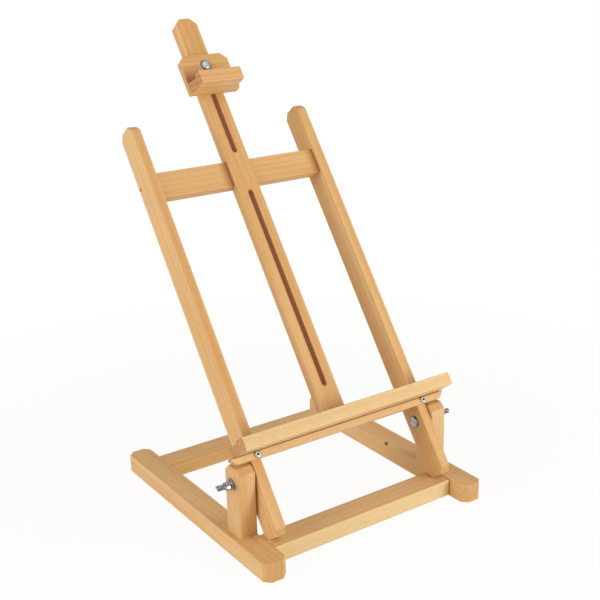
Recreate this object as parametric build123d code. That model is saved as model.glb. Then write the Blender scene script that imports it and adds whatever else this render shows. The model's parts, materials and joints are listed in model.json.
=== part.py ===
from build123d import *
import math
import os

# Tabletop artist easel in beech: a doweled base, a tilting frame on two pivot bolts, a slotted mast
# and a canvas clamp. Millimetres, +Z up, +X to the right as seen from the front, front towards -Y.

# Base
base_width = 335.0
runner_length = 353.0
runner_width = 32.0
runner_height = 24.0
front_rail_depth = 35.0
front_rail_height = 22.0
front_rail_setback = 28.0
rear_rail_depth = 28.0
rear_rail_height = 24.0
rear_rail_setback = 34.0
post_width = 24.0
post_depth = 32.0
post_setback = 82.0
pivot_height = 91.0
post_over_pivot = 22.0

# Tilting frame, measured along the stiles from the pivot axis
frame_lean = 36.0
stile_width = 13.5
stile_depth = 35.0
stile_rise = 465.0
frame_rail_depth = 16.0
frame_rail_inset = 5.0
upper_rail_bottom = 362.0
upper_rail_height = 35.0
lower_rail_bottom = 18.0
lower_rail_height = 30.0

# Mast, front face flush with the stiles
mast_width = 33.0
mast_depth = 15.0
mast_top = 610.0
mast_corner_cut = 9.0
slot_width = 8.0
lower_slot_start = 77.0
slot_under_rail = 10.0
slot_over_rail = 9.0
slot_over_bolt = 13.0

# Tray across the foot of the frame
tray_length = 312.0
ledge_depth = 22.0
ledge_thickness = 13.0
lip_depth = 19.5
lip_over_ledge = 3.5
apron_length = 325.0
apron_depth = 7.5
apron_height = 9.0
apron_bottom = 17.0
apron_corner_cut = 7.0

# Canvas clamp, placed by its bolt
clamp_bolt_drop = 78.0
plate_width = 73.0
plate_thickness = 9.0
plate_over_bolt = 17.0
plate_under_bolt = 39.0
plate_corner_cut = 9.0
clamp_ledge_depth = 16.0
clamp_ledge_thickness = 14.5
clamp_ledge_front_length = 58.0
clamp_lip_length = 63.0
clamp_lip_depth = 12.0
clamp_lip_height = 18.0

# Shared finish of the timber
end_cut = 8.0
arris = 1.2
post_arris = 3.0

# Bolts, washers and wing nuts
bolt_diameter = 6.0
bolt_head_diameter = 16.0
bolt_head_height = 3.6
bolt_neck_length = 3.5
washer_diameter = 16.0
washer_thickness = 1.6
nut_boss_diameter = 12.0
nut_height = 8.0
nut_wing_reach = 14.5
nut_wing_rise = 13.5
nut_wing_thickness = 3.0
pivot_nut_turn = 67.5
clamp_nut_turn = 32.0
nut_wing_lift = 1.0
nut_wing_overlap = 0.5
nut_top_share = 0.82
wing_shoulder_share = 0.55
wing_crown_share = 0.62
wing_root_share = 0.75
wing_corner_share = 0.14
pivot_bolt_past_nut = 10.0
clamp_bolt_past_nut = 3.0

# Dowels, screws and pins
end_bevel_share = 0.125
dowel_diameter = 8.0
dowel_length = 36.0
base_dowel_shares = (0.25, 0.75)
frame_dowel_shares = (0.2, 0.8)
frame_dowel_skin = 3.0
lip_dowel_diameter = 6.0
lip_dowel_length = 20.0
pin_diameter = 2.5
pin_length = 18.0
screw_diameter = 4.0
screw_head_diameter = 8.0
tray_screw_length = 15.0
tray_screw_head_diameter = 8.6
tray_screw_head_height = 2.2
tray_screw_recess = 2.8
pan_head_rounding = 1.5
screw_point_radius = 0.4
post_screw_length = 58.0
ledge_screw_length = 48.0
mast_screw_length = 16.0
mast_screw_shares = (0.3, 0.7)
clamp_screw_length = 20.0

# Clearances
running_fit = 0.06
glue_fit = 0.05
washer_fit = 0.2
slide_gap = 0.05
hole_spare = 1.0
stop_gap = 0.3

# Worked-out places
runner_inner = base_width / 2 - runner_width
runner_middle = base_width / 2 - runner_width / 2
rail_span = 2 * runner_inner
rear_rail_start = runner_length - rear_rail_setback - rear_rail_depth
post_middle = runner_inner + post_width / 2
post_outer = runner_inner + post_width
post_top = pivot_height + post_over_pivot
stile_outer = runner_inner - washer_thickness
stile_inner = stile_outer - stile_width
stile_middle = stile_outer - stile_width / 2
frame_front = -stile_depth / 2
rail_front = frame_front + frame_rail_inset
mast_back = frame_front + mast_depth
mast_bottom = lower_rail_bottom
upper_rail_top = upper_rail_bottom + upper_rail_height
lower_slot_end = upper_rail_bottom - slot_under_rail
upper_slot_start = upper_rail_top + slot_over_rail
clamp_bolt_rise = mast_top - clamp_bolt_drop
upper_slot_end = clamp_bolt_rise + slot_over_bolt
ledge_bottom = apron_bottom + apron_height
lean = math.radians(frame_lean)
frame_dowel_length = 2 * (stile_width - frame_dowel_skin)
foot_reach = pivot_height - runner_height - stop_gap - (stile_depth / 2 - end_cut) * math.sin(lean)
stile_drop = foot_reach / math.cos(lean)
plate_back = frame_front - slide_gap
clamp_face = plate_back - plate_thickness
pivot_bolt_length = stile_width + 2 * washer_thickness + post_width + nut_height + pivot_bolt_past_nut
clamp_bolt_grip = plate_thickness + slide_gap + mast_depth + washer_thickness
clamp_bolt_length = clamp_bolt_grip + nut_height + clamp_bolt_past_nut


def span_box(x, y, z):
    size = [end - start for start, end in (x, y, z)]
    middle = [(end + start) / 2 for start, end in (x, y, z)]
    return Pos(*middle) * Box(*size)


def eased_along(solid, axis):
    return fillet(solid.edges().filter_by(axis), arris)


def eased(solid):
    return fillet(solid.edges(), arris)


def along(axis_turn, place):
    return Pos(*place) * Rot(*axis_turn)


# Round pieces are drawn standing on the origin, along +Z, and these turns carry them to another direction
standing = (Align.CENTER, Align.CENTER, Align.MIN)
to_right = (0, 90, 0)
to_left = (0, -90, 0)
to_back = (-90, 0, 0)
to_front = (90, 0, 0)


def dowel(diameter, length):
    pin = Cylinder(diameter / 2, length)
    return chamfer(pin.edges().filter_by(GeomType.CIRCLE), diameter * end_bevel_share)


def dowel_hole(diameter, length):
    return Cylinder(diameter / 2 + glue_fit, length + 2 * hole_spare)


def countersunk_screw(length, grow=0.0, spare=0.0):
    head_depth = (screw_head_diameter - screw_diameter) / 2
    tip = screw_diameter / 2
    profile = Polyline(
        (0, 0),
        (screw_head_diameter / 2 + grow, 0),
        (screw_diameter / 2 + grow, head_depth),
        (screw_diameter / 2 + grow, length - tip + spare),
        (0, length + spare),
        close=True,
    )
    return revolve(Plane.XZ * make_face(profile), Axis.Z)


def screw_hole(length):
    return countersunk_screw(length, glue_fit, hole_spare)


def pan_head_screw(length):
    radius = tray_screw_head_diameter / 2
    tip = screw_diameter / 2
    shank = Cylinder(tip, length - tip, align=standing)
    point = Pos(0, 0, length - tip) * Cone(tip, screw_point_radius, tip, align=standing)
    head = Pos(0, 0, -tray_screw_head_height) * Cylinder(
        radius, tray_screw_head_height, align=standing
    )
    head = fillet(head.edges().group_by(Axis.Z)[0], pan_head_rounding)
    recess = Pos(0, 0, -tray_screw_head_height) * Box(
        tray_screw_recess, tray_screw_recess, tray_screw_head_height
    )
    return head - recess + shank + point


def pan_head_hole(length):
    radius = screw_diameter / 2 + glue_fit
    return Cylinder(radius, length + hole_spare, align=standing)


def carriage_bolt(length):
    crown = ThreePointArc(
        (-bolt_head_diameter / 2, 0),
        (0, -bolt_head_height),
        (bolt_head_diameter / 2, 0),
    )
    dome = make_face([crown, Line((-bolt_head_diameter / 2, 0), (bolt_head_diameter / 2, 0))])
    half = split(dome, Plane.YZ)
    head = revolve(Plane.XZ * half, Axis.Z)
    neck = Box(bolt_diameter, bolt_diameter, bolt_neck_length, align=standing)
    shank = Cylinder(bolt_diameter / 2, length, align=standing)
    shank = chamfer(shank.edges().group_by(Axis.Z)[-1], bolt_diameter * end_bevel_share)
    return head + neck + shank


def bolt_seat(depth):
    side = bolt_diameter + 2 * glue_fit
    neck = Box(side, side, bolt_neck_length + glue_fit, align=standing)
    bore = Cylinder(side / 2, depth, align=standing)
    return neck + bore


def washer(fit):
    ring = Cylinder(washer_diameter / 2, washer_thickness, align=standing)
    bore = Cylinder(bolt_diameter / 2 + fit, 3 * washer_thickness)
    return ring - bore


def wing_nut():
    boss = Cone(
        nut_boss_diameter / 2,
        nut_boss_diameter / 2 * nut_top_share,
        nut_height,
        align=standing,
    )
    root = bolt_diameter / 2 + nut_wing_overlap
    outline = Polyline(
        (root, nut_wing_lift),
        (nut_boss_diameter / 2, nut_wing_lift),
        (nut_wing_reach, nut_wing_rise * wing_shoulder_share),
        (nut_wing_reach, nut_wing_rise),
        (nut_wing_reach * wing_crown_share, nut_wing_rise),
        (root, nut_height * wing_root_share),
        close=True,
    )
    leaf = make_face(outline)
    tips = leaf.vertices().sort_by(Axis.X)[-3:]
    leaf = fillet(tips, nut_wing_reach * wing_corner_share)
    wing = extrude(Plane.XZ * leaf, amount=nut_wing_thickness / 2, both=True)
    wings = wing + Rot(0, 0, 180) * wing
    bore = Cylinder(bolt_diameter / 2 + running_fit, 3 * nut_wing_rise)
    return boss + wings - bore


def rail_joints():
    places = []
    for start, depth, height in (
        (front_rail_setback, front_rail_depth, front_rail_height),
        (rear_rail_start, rear_rail_depth, rear_rail_height),
    ):
        for share in base_dowel_shares:
            for side in (-1, 1):
                places.append((side * runner_inner, start + depth * share, runner_height - height / 2))
    return [along(to_right, place) for place in places]


def post_screw_places(side):
    offset = post_depth / 4
    return [Pos(side * post_middle, post_setback + shift, 0) for shift in (-offset, offset)]


def runner(side):
    plan = chamfer(Rectangle(runner_width, runner_length).vertices(), end_cut)
    solid = eased(extrude(plan, amount=runner_height))
    solid = Pos(side * runner_middle, runner_length / 2, 0) * solid
    for joint in rail_joints():
        solid -= joint * dowel_hole(dowel_diameter, dowel_length)
    for place in post_screw_places(side):
        solid -= place * screw_hole(post_screw_length)
    return solid


def cross_rail(start, depth, height):
    solid = span_box(
        (-runner_inner, runner_inner),
        (start, start + depth),
        (runner_height - height, runner_height),
    )
    solid = eased_along(solid, Axis.X)
    for joint in rail_joints():
        solid -= joint * dowel_hole(dowel_diameter, dowel_length)
    return solid


def post(side):
    outline = Rectangle(post_depth, post_top - runner_height)
    top = outline.vertices().group_by(Axis.Y)[-1]
    outline = chamfer(top, end_cut)
    outline = Pos(post_setback, (post_top + runner_height) / 2) * outline
    solid = extrude(Plane.YZ * outline, amount=post_width / 2, both=True)
    foot = solid.faces().sort_by(Axis.Z)[0].edges()
    solid = fillet([edge for edge in solid.edges() if edge not in foot], post_arris)
    solid = Pos(side * post_middle, 0, 0) * solid
    for place in post_screw_places(side):
        solid -= place * screw_hole(post_screw_length)
    pivot_bore = Cylinder(bolt_diameter / 2 + running_fit, 3 * post_width)
    return solid - along(to_right, (side * post_middle, post_setback, pivot_height)) * pivot_bore


def pivot_places(reach):
    right = along(to_right, (reach, post_setback, pivot_height))
    left = along(to_left, (-reach, post_setback, pivot_height))
    return [left, right]


# Frame pieces are drawn upright with the pivot axis at the origin, and leaned back at the end
frame_rails = ((lower_rail_bottom, lower_rail_height), (upper_rail_bottom, upper_rail_height))


def frame_joints():
    places = []
    for bottom, height in frame_rails:
        for share in frame_dowel_shares:
            for side in (-1, 1):
                depth = rail_front + frame_rail_depth / 2
                places.append((side * stile_inner, depth, bottom + height * share))
    return [along(to_right, place) for place in places]


def ledge_screw_place(side):
    return along(to_front, (side * stile_middle, stile_depth / 2, ledge_bottom + ledge_thickness / 2))


def tray_screw_place(side):
    return along(to_back, (side * stile_middle, frame_front - apron_depth, apron_bottom + apron_height / 2))


def pivot_bolt_place(side):
    turn = to_right if side > 0 else to_left
    return along(turn, (side * stile_inner, 0, 0))


def stile(side):
    outline = Rectangle(stile_depth, stile_rise + stile_drop)
    outline = chamfer(outline.vertices(), end_cut)
    outline = Pos(0, (stile_rise - stile_drop) / 2) * outline
    solid = eased(extrude(Plane.YZ * outline, amount=stile_width / 2, both=True))
    solid = Pos(side * stile_middle, 0, 0) * solid
    for joint in frame_joints():
        solid -= joint * dowel_hole(dowel_diameter, frame_dowel_length)
    solid -= ledge_screw_place(side) * screw_hole(ledge_screw_length)
    solid -= tray_screw_place(side) * pan_head_hole(tray_screw_length)
    return solid - pivot_bolt_place(side) * bolt_seat(2 * stile_width)


def mast_screw_places():
    offset = mast_width / 4
    rail_back = rail_front + frame_rail_depth
    places = []
    for bottom, height in frame_rails:
        for side, share in zip((-1, 1), mast_screw_shares):
            places.append((side * offset, rail_back, bottom + height * share))
    return [along(to_front, place) for place in places]


def frame_rail(bottom, height):
    solid = span_box(
        (-stile_inner, stile_inner),
        (rail_front, rail_front + frame_rail_depth),
        (bottom, bottom + height),
    )
    solid = eased_along(solid, Axis.X)
    solid -= span_box(
        (-mast_width / 2 - glue_fit, mast_width / 2 + glue_fit),
        (frame_front, mast_back),
        (bottom - hole_spare, bottom + height + hole_spare),
    )
    for joint in frame_joints():
        solid -= joint * dowel_hole(dowel_diameter, frame_dowel_length)
    for place in mast_screw_places():
        solid -= place * screw_hole(mast_screw_length)
    return solid


def slot_cutter(start, end):
    middle = (start + end) / 2
    outline = Pos(0, middle) * Rot(0, 0, 90) * SlotOverall(end - start, slot_width)
    return extrude(Plane.XZ * outline, amount=2 * stile_depth, both=True)


def mast():
    outline = Rectangle(mast_width, mast_top - mast_bottom)
    outline = chamfer(outline.vertices().group_by(Axis.Y)[-1], mast_corner_cut)
    outline = Pos(0, (mast_top + mast_bottom) / 2) * outline
    solid = eased(extrude(Plane.XZ * outline, amount=mast_depth / 2, both=True))
    solid = Pos(0, (frame_front + mast_back) / 2, 0) * solid
    solid -= slot_cutter(lower_slot_start, lower_slot_end)
    solid -= slot_cutter(upper_slot_start, upper_slot_end)
    for place in mast_screw_places():
        solid -= place * screw_hole(mast_screw_length)
    return solid


def lip_dowel_places():
    spread = tray_length / 3
    height = ledge_bottom + ledge_thickness / 2
    return [along(to_back, (shift, frame_front - ledge_depth, height)) for shift in (-spread, 0, spread)]


def tray_ledge():
    solid = span_box(
        (-tray_length / 2, tray_length / 2),
        (frame_front - ledge_depth, frame_front),
        (ledge_bottom, ledge_bottom + ledge_thickness),
    )
    solid = eased_along(solid, Axis.X)
    for place in lip_dowel_places():
        solid -= place * dowel_hole(lip_dowel_diameter, lip_dowel_length)
    for side in (-1, 1):
        solid -= ledge_screw_place(side) * screw_hole(ledge_screw_length)
    return solid


def tray_lip():
    back = frame_front - ledge_depth
    solid = span_box(
        (-tray_length / 2, tray_length / 2),
        (back - lip_depth, back),
        (ledge_bottom, ledge_bottom + ledge_thickness + lip_over_ledge),
    )
    solid = eased_along(solid, Axis.X)
    for place in lip_dowel_places():
        solid -= place * dowel_hole(lip_dowel_diameter, lip_dowel_length)
    return solid


def tray_apron():
    outline = Rectangle(apron_length, apron_height)
    lower = outline.vertices().group_by(Axis.Y)[0]
    outline = chamfer(lower, apron_corner_cut)
    outline = Pos(0, apron_bottom + apron_height / 2) * outline
    solid = extrude(Plane.XZ * outline, amount=apron_depth / 2, both=True)
    solid = Pos(0, frame_front - apron_depth / 2, 0) * solid
    front = solid.faces().sort_by(Axis.Y)[0].edges()
    solid = fillet(front, arris)
    for side in (-1, 1):
        solid -= tray_screw_place(side) * pan_head_hole(tray_screw_length)
    return solid


# Clamp pieces, drawn in the same upright frame
plate_bottom = clamp_bolt_rise - plate_under_bolt
clamp_ledge_front = clamp_face - clamp_ledge_depth


def clamp_bolt_place():
    return along(to_back, (0, clamp_face, clamp_bolt_rise))


def clamp_screw_places():
    offset = (mast_width + plate_width) / 4
    height = plate_bottom + clamp_ledge_thickness / 2
    return [along(to_front, (side * offset, plate_back, height)) for side in (-1, 1)]


def clamp_pin_places():
    offset = clamp_lip_length / 4
    height = plate_bottom + clamp_ledge_thickness / 2
    return [along(to_back, (side * offset, clamp_ledge_front, height)) for side in (-1, 1)]


def clamp_plate():
    outline = Rectangle(plate_width, plate_over_bolt + plate_under_bolt)
    outline = chamfer(outline.vertices().group_by(Axis.Y)[-1], plate_corner_cut)
    outline = Pos(0, clamp_bolt_rise + (plate_over_bolt - plate_under_bolt) / 2) * outline
    solid = eased(extrude(Plane.XZ * outline, amount=plate_thickness / 2, both=True))
    solid = Pos(0, plate_back - plate_thickness / 2, 0) * solid
    for place in clamp_screw_places():
        solid -= place * screw_hole(clamp_screw_length)
    return solid - clamp_bolt_place() * bolt_seat(2 * plate_thickness)


def clamp_ledge():
    half_back = plate_width / 2
    half_front = clamp_ledge_front_length / 2
    plan = Polyline(
        (-half_back, clamp_face),
        (half_back, clamp_face),
        (half_front, clamp_ledge_front),
        (-half_front, clamp_ledge_front),
        close=True,
    )
    solid = extrude(Pos(0, 0, plate_bottom) * make_face(plan), amount=clamp_ledge_thickness)
    for place in clamp_screw_places():
        solid -= place * screw_hole(clamp_screw_length)
    for place in clamp_pin_places():
        solid -= place * dowel_hole(pin_diameter, pin_length)
    return solid


def clamp_lip():
    solid = span_box(
        (-clamp_lip_length / 2, clamp_lip_length / 2),
        (clamp_ledge_front - clamp_lip_depth, clamp_ledge_front),
        (plate_bottom, plate_bottom + clamp_lip_height),
    )
    back = solid.faces().sort_by(Axis.Y)[-1].edges()
    solid = fillet([edge for edge in solid.edges() if edge not in back], arris)
    for place in clamp_pin_places():
        solid -= place * dowel_hole(pin_diameter, pin_length)
    return solid


def group(places, piece):
    return [place * piece for place in places]


left_nut_place, right_nut_place = pivot_places(post_outer + washer_thickness)
clamp_nut_place = along(to_back, (0, mast_back + washer_thickness, clamp_bolt_rise))
base_pieces = {
    "left_runner": [runner(-1)],
    "right_runner": [runner(1)],
    "front_rail": [cross_rail(front_rail_setback, front_rail_depth, front_rail_height)],
    "rear_rail": [cross_rail(rear_rail_start, rear_rail_depth, rear_rail_height)],
    "left_post": [post(-1)],
    "right_post": [post(1)],
    "base_dowels": group(rail_joints(), dowel(dowel_diameter, dowel_length)),
    "post_screws": group(
        post_screw_places(-1) + post_screw_places(1), countersunk_screw(post_screw_length)
    ),
    "inner_washers": group(pivot_places(stile_outer), washer(washer_fit)),
    "outer_washers": group(pivot_places(post_outer), washer(washer_fit)),
    "left_wing_nut": [left_nut_place * Rot(0, 0, -pivot_nut_turn) * wing_nut()],
    "right_wing_nut": [right_nut_place * Rot(0, 0, pivot_nut_turn) * wing_nut()],
}

upright_pieces = {
    "left_stile": [stile(-1)],
    "right_stile": [stile(1)],
    "upper_rail": [frame_rail(upper_rail_bottom, upper_rail_height)],
    "lower_rail": [frame_rail(lower_rail_bottom, lower_rail_height)],
    "frame_dowels": group(frame_joints(), dowel(dowel_diameter, frame_dowel_length)),
    "mast": [mast()],
    "mast_screws": group(mast_screw_places(), countersunk_screw(mast_screw_length)),
    "tray_ledge": [tray_ledge()],
    "tray_lip": [tray_lip()],
    "tray_apron": [tray_apron()],
    "lip_dowels": group(lip_dowel_places(), dowel(lip_dowel_diameter, lip_dowel_length)),
    "ledge_screws": group(
        [ledge_screw_place(-1), ledge_screw_place(1)], countersunk_screw(ledge_screw_length)
    ),
    "tray_screws": group([tray_screw_place(-1), tray_screw_place(1)], pan_head_screw(tray_screw_length)),
    "left_pivot_bolt": [pivot_bolt_place(-1) * carriage_bolt(pivot_bolt_length)],
    "right_pivot_bolt": [pivot_bolt_place(1) * carriage_bolt(pivot_bolt_length)],
    "clamp_plate": [clamp_plate()],
    "clamp_ledge": [clamp_ledge()],
    "clamp_lip": [clamp_lip()],
    "clamp_screws": group(clamp_screw_places(), countersunk_screw(clamp_screw_length)),
    "clamp_pins": group(clamp_pin_places(), dowel(pin_diameter, pin_length)),
    "clamp_bolt": [clamp_bolt_place() * carriage_bolt(clamp_bolt_length)],
    "clamp_washer": [along(to_back, (0, mast_back, clamp_bolt_rise)) * washer(running_fit)],
    "clamp_wing_nut": [clamp_nut_place * Rot(0, 0, clamp_nut_turn) * wing_nut()],
}

# The origin is under the middle of the whole easel, from the runners' front to the mast's top
mast_reach = (mast_back - arris) * math.cos(lean) + (mast_top - arris) * math.sin(lean) + arris
to_origin = Pos(0, -(post_setback + mast_reach) / 2, 0)
frame_place = to_origin * Pos(0, post_setback, pivot_height) * Rot(-frame_lean, 0, 0)


def write(pieces, place):
    for name, solids in pieces.items():
        placed = [place * solid for solid in solids]
        shape = placed[0] if len(placed) == 1 else Compound(children=placed)
        export_step(shape, f"parts/{name}.step")


os.makedirs("parts", exist_ok=True)
write(base_pieces, to_origin)
write(upright_pieces, frame_place)

clamp_axis = frame_place * Pos(0, clamp_face, clamp_bolt_rise)
print("pivot", tuple(frame_place.position))
print("clamp bolt", tuple(clamp_axis.position))
print("stile drop", stile_drop)
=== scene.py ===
import bpy
import json
import math
from mathutils import Euler, Matrix, Vector


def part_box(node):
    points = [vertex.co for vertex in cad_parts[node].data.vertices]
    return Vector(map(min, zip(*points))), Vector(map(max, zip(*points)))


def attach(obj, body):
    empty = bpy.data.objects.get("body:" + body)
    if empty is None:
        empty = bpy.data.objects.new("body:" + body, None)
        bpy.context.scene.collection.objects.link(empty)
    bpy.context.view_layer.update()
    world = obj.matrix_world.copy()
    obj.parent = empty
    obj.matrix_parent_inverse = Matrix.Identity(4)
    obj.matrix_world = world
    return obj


scene = bpy.context.scene
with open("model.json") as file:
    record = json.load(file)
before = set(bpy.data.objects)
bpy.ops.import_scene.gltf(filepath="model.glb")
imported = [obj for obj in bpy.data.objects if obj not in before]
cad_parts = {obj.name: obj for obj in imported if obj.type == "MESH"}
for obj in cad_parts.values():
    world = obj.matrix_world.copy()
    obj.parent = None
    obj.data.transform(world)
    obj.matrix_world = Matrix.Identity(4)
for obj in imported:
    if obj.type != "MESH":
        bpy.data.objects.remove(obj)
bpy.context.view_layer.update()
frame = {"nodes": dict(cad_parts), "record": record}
print("easel loaded:", len(frame["nodes"]), "nodes")

noiseMiddle = 0.5


# A socket that can be used in sums; make() adds any other node to the same tree
class Wire:
    def __init__(self, tree, socket=None):
        self.tree = tree
        self.socket = socket

    def make(self, kind, settings=None, values=None, out=0):
        node = self.tree.nodes.new(kind)
        for name, value in (settings or {}).items():
            setattr(node, name, value)
        for key, value in (values or {}).items():
            if isinstance(value, Wire):
                self.tree.links.new(value.socket, node.inputs[key])
            else:
                node.inputs[key].default_value = value
        return Wire(self.tree, node.outputs[out])

    def math(self, operation, first, second=0.0):
        return self.make("ShaderNodeMath", {"operation": operation}, {0: first, 1: second})

    def size(self):
        return self.math("ABSOLUTE", self)

    def least(self, other):
        return self.math("MINIMUM", self, other)

    def most(self, other):
        return self.math("MAXIMUM", self, other)

    def __add__(self, other):
        return self.math("ADD", self, other)

    def __radd__(self, other):
        return self.math("ADD", other, self)

    def __sub__(self, other):
        return self.math("SUBTRACT", self, other)

    def __rsub__(self, other):
        return self.math("SUBTRACT", other, self)

    def __mul__(self, other):
        return self.math("MULTIPLY", self, other)

    def __rmul__(self, other):
        return self.math("MULTIPLY", other, self)

    # 0 below low, 1 above high, smooth between
    def ramp(self, low, high):
        values = {0: self, 1: low, 2: high}
        return self.make("ShaderNodeMapRange", {"interpolation_type": "SMOOTHSTEP"}, values)

    def outputs(self):
        sockets = self.socket.node.outputs
        return {socket.name: Wire(self.tree, socket) for socket in sockets if socket.name}

    def parts(self):
        return list(self.make("ShaderNodeSeparateXYZ", values={0: self}).outputs().values())

    def vector(self, operation, other=(0, 0, 0), out="Value"):
        made = self.make("ShaderNodeVectorMath", {"operation": operation}, {0: self, 1: other})
        return made.outputs()[out]

    def along(self, direction):
        return self.vector("DOT_PRODUCT", direction)

    # A look's fineness is per metre along each axis
    def noise(self, look):
        spot = self.vector("MULTIPLY", look["fineness"], "Vector")
        values = {"Vector": spot, "Scale": 1.0, "Detail": look["detail"],
                  "Roughness": look["rough"]}
        return self.make("ShaderNodeTexNoise", values=values)

    def blend(self, amount, first, second):
        values = {0: amount, 6: first, 7: second}
        return self.make("ShaderNodeMix", {"data_type": "RGBA"}, values, 2)

    def mixed(self, amount, other):
        return self.blend(amount, self, other)


def blankMaterial(name):
    material = bpy.data.materials.new(name)
    material.use_nodes = True
    shader = material.node_tree.nodes["Principled BSDF"]
    return material, Wire(material.node_tree), shader


def feed(shader, **wires):
    for name, wire in wires.items():
        shader.id_data.links.new(wire.socket, shader.inputs[name.replace("_", " ")])


def bumpFrom(height, bump):
    values = {"Strength": bump["strength"], "Distance": bump["depth"], "Height": height}
    return height.make("ShaderNodeBump", values=values)


def setFinish(node, material):
    frame["nodes"][node].data.materials.clear()
    frame["nodes"][node].data.materials.append(material)


joints = {joint["name"]: joint for joint in frame["record"]["behaviour"]["joints"]}
pivot = Vector(joints["frame_tilt"]["pos_m"])
frameUp = Vector(joints["clamp_slide"]["axis"]).normalized()
rightward = Vector((1, 0, 0))
frameFront = rightward.cross(frameUp)


# Sealed beech: long soft streaks, growth rings, fine lines, short ray flecks, darker end grain
beech = {
    "pale": (0.785, 0.57, 0.292, 1),
    "warm": (0.625, 0.342, 0.126, 1),
    "streak": {"fineness": (70, 70, 3.2), "detail": 4.0, "rough": 0.5, "band": (0.3, 0.7),
               "share": 0.30},
    "ring": {"pitch": 0.0075, "wander": 0.016, "band": (-0.6, 1.0), "share": 0.15},
    "wander": {"fineness": (14, 14, 1.6), "detail": 2.0, "rough": 0.5},
    "line": {"fineness": (620, 620, 11), "detail": 3.0, "rough": 0.6, "share": 0.37,
             "roughness": 0.16},
    "fleck": {"fineness": (1300, 1300, 130), "detail": 1.0, "rough": 0.5, "band": (0.60, 0.72),
              "share": 0.38, "shade": (0.50, 0.25, 0.09, 1)},
    "pore": {"fineness": (1500, 1500, 1500), "detail": 1.0, "rough": 0.5, "band": (0.5, 0.7)},
    "end": {"facing": (0.55, 0.85), "share": 0.65, "rings": 0.2, "pores": 0.15, "roughness": 0.16,
            "shade": (0.58, 0.335, 0.135, 1), "deepShade": (0.44, 0.195, 0.08, 1)},
    # the flat faces' own tone and pale mix are painted shade and painted sheen
    "flat": {"facing": (0.5, 0.9), "paintedSheenShade": (0.74, 0.615, 0.355, 1)},
    "wearAndHighlight": {"width": 0.0016, "share": 0.5, "broken": 0.5, "shade": (0.86, 0.61, 0.32, 1)},
    "knot": {"share": 0.95, "core": 0.45, "wander": 0.5, "shade": (0.16, 0.055, 0.02, 1)},
    # the slot, seam and shadow shades below are painted shade
    "slot": {"share": 0.95, "edge": 0.0004, "facing": (0.3, 0.7), "depth": (0.0002, 0.0042),
             "shade": (0.50, 0.20, 0.06, 1)},
    "seam": {"width": 0.0011, "edge": 0.0005, "share": 0.8, "shade": (0.20, 0.09, 0.035, 1)},
    "paintedShadow": {"share": 0.82, "facing": (0.1, 0.7), "shade": (0.30, 0.085, 0.03, 1)},
    "roughness": 0.48,
    "shine": 0.25,
    "coat": 0.05,
    "coatRoughness": 0.32,
    "bump": {"strength": 0.22, "depth": 0.0004},
}


# Middle and half size of a stick, as it lies in its plank
def plankBox(node, angles, shift):
    spin = Euler(angles).to_matrix()
    points = [spin @ point.co + Vector(shift) for point in frame["nodes"][node].data.vertices]
    low = Vector([min(point[axis] for point in points) for axis in range(3)])
    high = Vector([max(point[axis] for point in points) for axis in range(3)])
    return (low + high) / 2, (high - low) / 2


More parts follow.
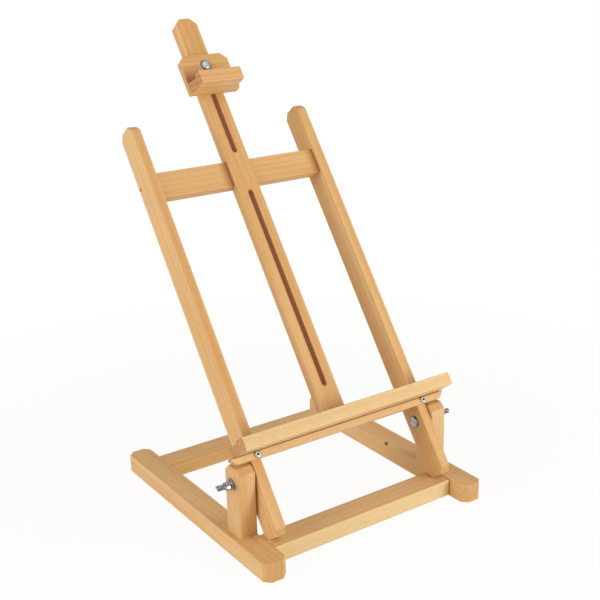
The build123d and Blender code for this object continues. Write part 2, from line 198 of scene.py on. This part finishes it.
def beechMaterial(node, stick):
    material, wire, shader = blankMaterial("beech_" + node)
    coords = wire.make("ShaderNodeTexCoord").outputs()
    spot, normal = coords["Object"], coords["Normal"]
    angles = [math.radians(angle) for angle in stick["turn"]]
    values = {"Vector": spot, "Rotation": angles, "Location": stick["shift"]}
    grain = wire.make("ShaderNodeMapping", values=values)
    values = {"Vector": normal, "Rotation": angles}
    facing = wire.make("ShaderNodeMapping", {"vector_type": "VECTOR"}, values)
    flatFacing, endFacing = (part.size() for part in facing.parts()[1:])
    flatFace = flatFacing.ramp(*beech["flat"]["facing"])
    endFace = endFacing.ramp(*beech["end"]["facing"])

    streakLook, ringLook, lineLook = beech["streak"], beech["ring"], beech["line"]
    streak = grain.noise(streakLook).ramp(*streakLook["band"])
    line = grain.noise(lineLook) - noiseMiddle
    wander = grain.noise(beech["wander"])
    across, through = grain.parts()[:2]
    radius = wire.math("SQRT", across * across + through * through)
    turns = (radius + wander * ringLook["wander"]) * (2 * math.pi / ringLook["pitch"])
    ring = wire.math("SINE", turns).ramp(*ringLook["band"])
    figure = streak * streakLook["share"] + ring * ringLook["share"] + line * lineLook["share"]
    figure = figure + stick["tone"]
    if "paintedFaceTone" in stick:    # painted shade: the flat faces get a tone of their own, darker or paler as the light falls on them
        figure = figure + flatFace * stick["paintedFaceTone"]
    colour = wire.blend(figure, beech["pale"], beech["warm"])
    if "paintedSheen" in stick:    # painted sheen: the flat faces are mixed toward a pale shade, as where the key light glances off them
        colour = colour.mixed(flatFace * stick["paintedSheen"], beech["flat"]["paintedSheenShade"])

    fleckLook, endLook, poreLook = beech["fleck"], beech["end"], beech["pore"]
    fleck = grain.noise(fleckLook).ramp(*fleckLook["band"])
    colour = colour.mixed(fleck * fleckLook["share"] * (1 - endFace), fleckLook["shade"])
    pores = grain.noise(poreLook).ramp(*poreLook["band"])
    darker = endLook["share"] + ring * endLook["rings"] + pores * endLook["pores"]
    colour = colour.mixed(endFace * darker, endLook[stick.get("endLook", "shade")])

    # Arrises paler, partly rubbed wear and partly a painted highlight: the second largest of the
    # three depths is the distance to an edge
    wearAndHighlight = beech["wearAndHighlight"]
    middle, half = plankBox(node, angles, stick["shift"])
    fromMiddle = grain.vector("SUBTRACT", middle, "Vector").parts()
    first, second, third = (part.size() - reach for part, reach in zip(fromMiddle, half))
    edge = first.least(second).most(first.most(second).least(third))
    wornAndLitEdge = edge.ramp(-wearAndHighlight["width"], 0.0) * (1 - streak * wearAndHighlight["broken"]) * (1 - endFace)
    colour = colour.mixed(wornAndLitEdge * wearAndHighlight["share"], wearAndHighlight["shade"])

    if "knot" in stick:
        look, (place, size) = beech["knot"], stick["knot"]
        away = spot.vector("DISTANCE", place) + (wander - noiseMiddle) * size * look["wander"]
        eye = 1 - away.ramp(size * look["core"], size)
        colour = colour.mixed(eye * look["share"], look["shade"])
    if "slotHalf" in stick:    # painted shade: the routed slot's side walls are darkened, more so deeper in
        look, halfWidth = beech["slot"], stick["slotHalf"]
        inside = 1 - spot.along(rightward).size().ramp(halfWidth, halfWidth + look["edge"])
        sideways = normal.along(rightward).size().ramp(*look["facing"])
        depth = (furthest(node, frameFront) - spot.along(frameFront)).ramp(*look["depth"])
        colour = colour.mixed(inside * sideways * depth * look["share"], look["shade"])
    if "seamRise" in stick:    # a shadowed line under the piece above
        look = beech["seam"]
        seamAt = pivot.dot(frameUp) + stick["seamRise"] - look["width"]
        under = (spot.along(frameUp) - seamAt).ramp(-look["edge"], look["edge"])
        colour = colour.mixed(under * look["share"], look["shade"])
    for direction, place, width in stick.get("paintedShadows", ()):    # painted shadow in a front corner beside a piece that stands out
        look = beech["paintedShadow"]
        nearness = 1 - (spot.along(direction) - place).size().ramp(0.0, width)
        ahead = normal.along(frameFront).ramp(*look["facing"])
        colour = colour.mixed(nearness * ahead * look["share"], look["shade"])

    feed(shader, Base_Color=colour)
    dull = line * lineLook["roughness"] + endFace * endLook["roughness"]
    feed(shader, Roughness=beech["roughness"] + dull)
    feed(shader, Normal=bumpFrom(line + pores * endFace, beech["bump"]))
    shader.inputs["Specular IOR Level"].default_value = beech["shine"]
    shader.inputs["Coat Weight"].default_value = beech["coat"]
    shader.inputs["Coat Roughness"].default_value = beech["coatRoughness"]
    return material


def furthest(node, direction):
    return max(point.co.dot(direction) for point in frame["nodes"][node].data.vertices)


# How each stick was cut: the turn that carries its length to the pattern's Z, a place in the plank
# and a tone, then what it alone shows. A knot is a place and a radius, and a painted shadow is a
# direction, a place along it and a width
leanBack = 36
alongRunner, alongRail, alongPost = (90, 0, 0), (0, -90, 0), (0, 0, 0)
alongStile, alongTray = (leanBack, 0, 0), (leanBack, -90, 0)
sticks = {
    "left_runner": {"turn": alongRunner, "shift": (0.31, 0.05, 0.4), "tone": 0.34},
    "right_runner": {"turn": alongRunner, "shift": (0.02, 0.09, 1.1), "tone": 0.36,
                     "knot": ((0.1360, -0.0590, 0.0235), 0.0042)},
    "front_rail": {"turn": alongRail, "shift": (0.07, 0.11, 0.2), "tone": 0.16, "paintedFaceTone": -0.12,
                   "paintedSheen": 0.55, "paintedShadows": [(rightward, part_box("right_runner")[0][0], 0.004)]},
    "rear_rail": {"turn": alongRail, "shift": (0.21, -0.06, 0.8), "tone": 0.38},
    "left_post": {"turn": alongPost, "shift": (0.13, 0.30, 1.7), "tone": 0.37},
    "right_post": {"turn": alongPost, "shift": (-0.08, 0.16, 0.3), "tone": 0.16, "paintedSheen": 0.35},
    "left_stile": {"turn": alongStile, "shift": (0.26, 0.04, 0.9), "tone": 0.43, "paintedFaceTone": 0.16,
                   "knot": ((-0.1339, 0.1012, 0.3972), 0.0032)},
    "right_stile": {"turn": alongStile, "shift": (-0.03, 0.07, 0.1), "tone": 0.50},
    "upper_rail": {"turn": alongTray, "shift": (0.09, 0.17, 0.6), "tone": 0.46,
                   "paintedShadows": [(rightward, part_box(neighbour)[0][0], 0.016)
                               for neighbour in ("mast", "right_stile")]},
    "lower_rail": {"turn": alongTray, "shift": (0.19, 0.02, 1.4), "tone": 0.37},
    "mast": {"turn": alongStile, "shift": (0.06, 0.12, 2.2), "tone": 0.52, "slotHalf": 0.004},
    "tray_ledge": {"turn": alongTray, "shift": (0.02, 0.08, 0.5), "tone": 0.42,
                   "endLook": "deepShade"},
    "tray_lip": {"turn": alongTray, "shift": (0.15, 0.05, 1.9), "tone": 0.02, "paintedSheen": 0.35,
                 "endLook": "deepShade"},
    "tray_apron": {"turn": alongTray, "shift": (0.11, 0.19, 0.7), "tone": 0.10, "seamRise": 0.026,
                   "endLook": "deepShade"},
    "clamp_plate": {"turn": alongTray, "shift": (0.05, 0.10, 2.6), "tone": 0.50,
                    "paintedShadows": [(frameUp, furthest("clamp_ledge", frameUp), 0.020)]},
    "clamp_ledge": {"turn": alongTray, "shift": (0.17, 0.13, 3.1), "tone": 0.38,
                    "endLook": "deepShade"},
    "clamp_lip": {"turn": alongTray, "shift": (0.08, 0.06, 1.2), "tone": 0.34,
                  "endLook": "deepShade"},
    "base_dowels": {"turn": alongRail, "shift": (0.01, 0.02, 0.3), "tone": 0.36},
    "frame_dowels": {"turn": alongTray, "shift": (0.03, 0.01, 0.6), "tone": 0.36},
    "lip_dowels": {"turn": alongStile, "shift": (0.02, 0.04, 0.9), "tone": 0.36},
}
for node, stick in sticks.items():
    setFinish(node, beechMaterial(node, stick))
print("beech set on", len(sticks), "pieces")


# Bright zinc on the bolts, nuts, washers and screws
zinc = {
    "bright": (0.42, 0.425, 0.43, 1),
    "dull": (0.22, 0.22, 0.225, 1),
    "cloud": {"fineness": (180, 180, 180), "detail": 3.0, "rough": 0.5, "band": (0.35, 0.7),
              "share": 0.6, "roughness": 0.14},
    "scratch": {"fineness": (1900, 1900, 320), "detail": 2.0, "rough": 0.5, "roughness": 0.12},
    # the rim and recess shades are painted shade
    "rim": {"facing": (0.68, 0.88), "shade": (0.05, 0.05, 0.055, 1)},
    "paintedRecess": {"radius": 0.0017, "edge": 0.0003, "shade": (0.02, 0.02, 0.02, 1)},
    "roughness": 0.24,
    "metallic": 1.0,
    "bump": {"strength": 0.12, "depth": 0.0002},
}


def zincMaterial(name, dullness=0.0, paintedRecesses=(), domeAxis=None):
    material, wire, shader = blankMaterial(name)
    coords = wire.make("ShaderNodeTexCoord").outputs()
    spot, normal = coords["Object"], coords["Normal"]
    cloudLook, scratchLook, rim, paintedRecess = (
        zinc[key] for key in ("cloud", "scratch", "rim", "paintedRecess"))
    cloud = spot.noise(cloudLook).ramp(*cloudLook["band"])
    scratch = spot.noise(scratchLook) - noiseMiddle
    colour = wire.blend(cloud * cloudLook["share"] + dullness, zinc["bright"], zinc["dull"])
    if domeAxis:    # painted shade: a round head is darkened towards its rim
        facing = normal.along(domeAxis).size()
        colour = colour.mixed(1 - facing.ramp(*rim["facing"]), rim["shade"])
    # painted shade: a dark disc where each driver recess would lie in shade
    for place in paintedRecesses:
        inner, outer = (paintedRecess["radius"] + side * paintedRecess["edge"] for side in (-1, 1))
        paintedDisc = 1 - spot.vector("DISTANCE", place).ramp(inner, outer)
        colour = colour.mixed(paintedDisc, paintedRecess["shade"])
    feed(shader, Base_Color=colour)
    dull = cloud * cloudLook["roughness"] + scratch * scratchLook["roughness"]
    feed(shader, Roughness=zinc["roughness"] + dull)
    feed(shader, Normal=bumpFrom(scratch, zinc["bump"]))
    shader.inputs["Metallic"].default_value = zinc["metallic"]
    return material


# The two pan-head screws in the tray's apron get painted shade, a dark disc where a driver recess
# would be
trayScrew = {"side": 0.12715, "forward": 0.0272, "rise": 0.0215}
screwHead = pivot + frameFront * trayScrew["forward"] + frameUp * trayScrew["rise"]
screwHeads = [screwHead + rightward * side * trayScrew["side"] for side in (-1, 1)]
dullness = {"nuts": 0.15, "washers": 0.25, "trayScrews": -0.2, "screws": 0.1}
zincMaterials = {
    "pivotBolts": zincMaterial("zinc_pivot_bolts", domeAxis=rightward),
    "clampBolt": zincMaterial("zinc_clamp_bolt", domeAxis=frameFront),
    "nuts": zincMaterial("zinc_nuts", dullness["nuts"]),
    "washers": zincMaterial("zinc_washers", dullness["washers"]),
    "trayScrews": zincMaterial("zinc_tray_screws", dullness["trayScrews"], screwHeads),
    "screws": zincMaterial("zinc_screws", dullness["screws"]),
}
hardware = {
    "pivotBolts": ["left_pivot_bolt", "right_pivot_bolt"],
    "clampBolt": ["clamp_bolt"],
    "nuts": ["left_wing_nut", "right_wing_nut", "clamp_wing_nut"],
    "washers": ["inner_washers", "outer_washers", "clamp_washer"],
    "trayScrews": ["tray_screws"],
    "screws": ["post_screws", "mast_screws", "ledge_screws", "clamp_screws", "clamp_pins"],
}
for kind, nodes in hardware.items():
    for node in nodes:
        setFinish(node, zincMaterials[kind])
print("zinc set on", sum(len(nodes) for nodes in hardware.values()), "nodes")


# Threads on the bolt ends that stand past the nuts: a ridge wound on a helix
thread = {
    "radius": 0.00285,
    "pitch": 0.001,
    "ridge": 0.00036,
    "ridgeSides": 6,
    "fromTip": 0.0009,
    "stepsPerTurn": 24,
    "pivotLength": 0.0088,
    "clampLength": 0.0019,
    "clampReach": 0.03665,    # from the swivel's centre to the clamp bolt's tip
}


def threadTree():
    tree = bpy.data.node_groups.new("threadRidge", "GeometryNodeTree")
    kinds = {"Radius": "Float", "Turns": "Float", "Length": "Float", "Ridge": "Float",
             "Sides": "Int", "Steps": "Int", "Finish": "Material"}
    for name, kind in kinds.items():
        tree.interface.new_socket(name=name, in_out="INPUT", socket_type="NodeSocket" + kind)
    tree.interface.new_socket(name="Geometry", in_out="OUTPUT", socket_type="NodeSocketGeometry")
    wire = Wire(tree)
    given = wire.make("NodeGroupInput").outputs()
    values = {"Resolution": given["Steps"], "Rotations": given["Turns"], "Height": given["Length"],
              "Start Radius": given["Radius"], "End Radius": given["Radius"]}
    helix = wire.make("GeometryNodeCurveSpiral", values=values)
    values = {"Resolution": given["Sides"], "Radius": given["Ridge"]}
    profile = wire.make("GeometryNodeCurvePrimitiveCircle", values=values)
    values = {"Curve": helix, "Profile Curve": profile, "Fill Caps": True}
    ridge = wire.make("GeometryNodeCurveToMesh", values=values)
    real = wire.make("GeometryNodeRealizeInstances", values={"Geometry": ridge})
    values = {"Geometry": real, "Material": given["Finish"]}
    done = wire.make("GeometryNodeSetMaterial", values=values)
    tree.links.new(done.socket, tree.nodes.new("NodeGroupOutput").inputs[0])
    return tree


ridgeTree = threadTree()


def threadOn(name, body, tip, direction, length):
    piece = bpy.data.objects.new(name, bpy.data.meshes.new(name))
    scene.collection.objects.link(piece)
    modifier = piece.modifiers.new("thread", "NODES")
    modifier.node_group = ridgeTree
    inputs = {s.name: s.identifier for s in ridgeTree.interface.items_tree if s.in_out == "INPUT"}
    values = {"Radius": thread["radius"], "Turns": length / thread["pitch"], "Length": length,
              "Ridge": thread["ridge"], "Sides": thread["ridgeSides"],
              "Steps": thread["stepsPerTurn"], "Finish": zincMaterials["screws"]}
    for key, value in values.items():
        modifier[inputs[key]] = value
    evaluated = piece.evaluated_get(bpy.context.evaluated_depsgraph_get())
    mesh = bpy.data.meshes.new_from_object(evaluated)
    piece.modifiers.clear()
    start = tip - direction * (length + thread["fromTip"])
    spin = direction.to_track_quat("Z", "X").to_matrix().to_4x4()
    mesh.transform(Matrix.Translation(start) @ spin)
    piece.data = mesh
    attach(piece, body)


leftTip = Vector((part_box("left_pivot_bolt")[0][0], pivot.y, pivot.z))
rightTip = Vector((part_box("right_pivot_bolt")[1][0], pivot.y, pivot.z))
threadOn("left_bolt_thread", "frame", leftTip, -rightward, thread["pivotLength"])
threadOn("right_bolt_thread", "frame", rightTip, rightward, thread["pivotLength"])
clampAxis = Vector(joints["clamp_swivel"]["axis"]).normalized()
clampTip = Vector(joints["clamp_swivel"]["pos_m"]) + clampAxis * thread["clampReach"]
threadOn("clamp_bolt_thread", "clamp", clampTip, clampAxis, thread["clampLength"])
print("threads wound on three bolts")


# Floor, lights and camera
studio = {
    "floorSize": 12,
    "floorShade": (0.92, 0.92, 0.91, 1),
    "floorRoughness": 0.9,
    "floorGlow": 0.94,
    "fade": (0.35, 0.9),    # metres from the middle, over which the floor turns pure white
    "ambient": 0.40,
    "ambientShade": (1.0, 0.82, 0.62, 1),
    "white": (1, 1, 1, 1),
    "lookAt": (0, 0, 0.28),
}
lamps = {
    "key": {"place": (1.1, -1.95, 0.7), "size": 1.0, "power": 28.3, "shade": (1.0, 0.965, 0.91)},
    "fill": {"place": (-3.2, -0.05, 1.25), "size": 1.8, "power": 58, "shade": (1.0, 1.0, 0.99)},
    "top": {"place": (0.0, -0.6, 2.0), "size": 1.4, "power": 4.5, "shade": (1.0, 0.98, 0.94)},
}


# 1 where the camera, a reflection or a refraction sees the surface, 0 where it only lights
def seenBy(wire):
    rays = wire.make("ShaderNodeLightPath").outputs()
    seen = rays["Is Camera Ray"].most(rays["Is Glossy Ray"])
    return seen.most(rays["Is Transmission Ray"])


bpy.ops.mesh.primitive_plane_add(size=studio["floorSize"])
floor = bpy.context.object
floor.name = "floor"
floorMaterial, wire, shader = blankMaterial("pale_floor")
shader.inputs["Base Color"].default_value = studio["floorShade"]
shader.inputs["Roughness"].default_value = studio["floorRoughness"]
away = wire.make("ShaderNodeTexCoord").outputs()["Object"].vector("LENGTH")
glowShare = away.ramp(*studio["fade"]) * (1 - studio["floorGlow"]) + studio["floorGlow"]
plain, glow = Wire(wire.tree, shader.outputs[0]), wire.make("ShaderNodeEmission")
mix = wire.make("ShaderNodeMixShader", values={0: seenBy(wire) * glowShare, 1: plain, 2: glow})
wire.tree.links.new(mix.socket, wire.tree.nodes["Material Output"].inputs[0])
floor.data.materials.append(floorMaterial)

world = bpy.data.worlds.new("studio")
scene.world = world
world.use_nodes = True
sky = Wire(world.node_tree)
seen = seenBy(sky)
skyShade = sky.blend(seen, studio["ambientShade"], studio["white"])
skyStrength = seen * (1 - studio["ambient"]) + studio["ambient"]
feed(sky.tree.nodes["Background"], Color=skyShade, Strength=skyStrength)

for name, given in lamps.items():
    lamp = bpy.data.lights.new(name, "AREA")
    lamp.size = given["size"]
    lamp.energy = given["power"]
    lamp.color = given["shade"]
    holder = bpy.data.objects.new(name, lamp)
    holder.location = given["place"]
    towards = Vector(studio["lookAt"]) - holder.location
    holder.rotation_euler = towards.to_track_quat("-Z", "Y").to_euler()
    scene.collection.objects.link(holder)

view = {"azimuth": -34.19, "elevation": 18.86, "roll": -1.44, "distance": 1.3417,
        "aim": (-0.0052, -0.0619, 0.2662), "lens": 64.39}
azimuth, elevation, roll = (math.radians(view[key]) for key in ("azimuth", "elevation", "roll"))
level = Vector((math.cos(azimuth), math.sin(azimuth), 0))
outward = Vector((math.sin(azimuth), -math.cos(azimuth), 0))
back = outward * math.cos(elevation) + Vector((0, 0, math.sin(elevation)))
upright = back.cross(level)
sideways = level * math.cos(roll) + upright * math.sin(roll)
upwards = upright * math.cos(roll) - level * math.sin(roll)
camera = bpy.data.objects.new("camera", bpy.data.cameras.new("camera"))
camera.data.lens = view["lens"]
place = Matrix.Translation(Vector(view["aim"]) + back * view["distance"])
camera.matrix_world = place @ Matrix((sideways, upwards, back)).transposed().to_4x4()
scene.collection.objects.link(camera)
scene.camera = camera
scene.view_settings.view_transform = "Standard"
print("studio ready")
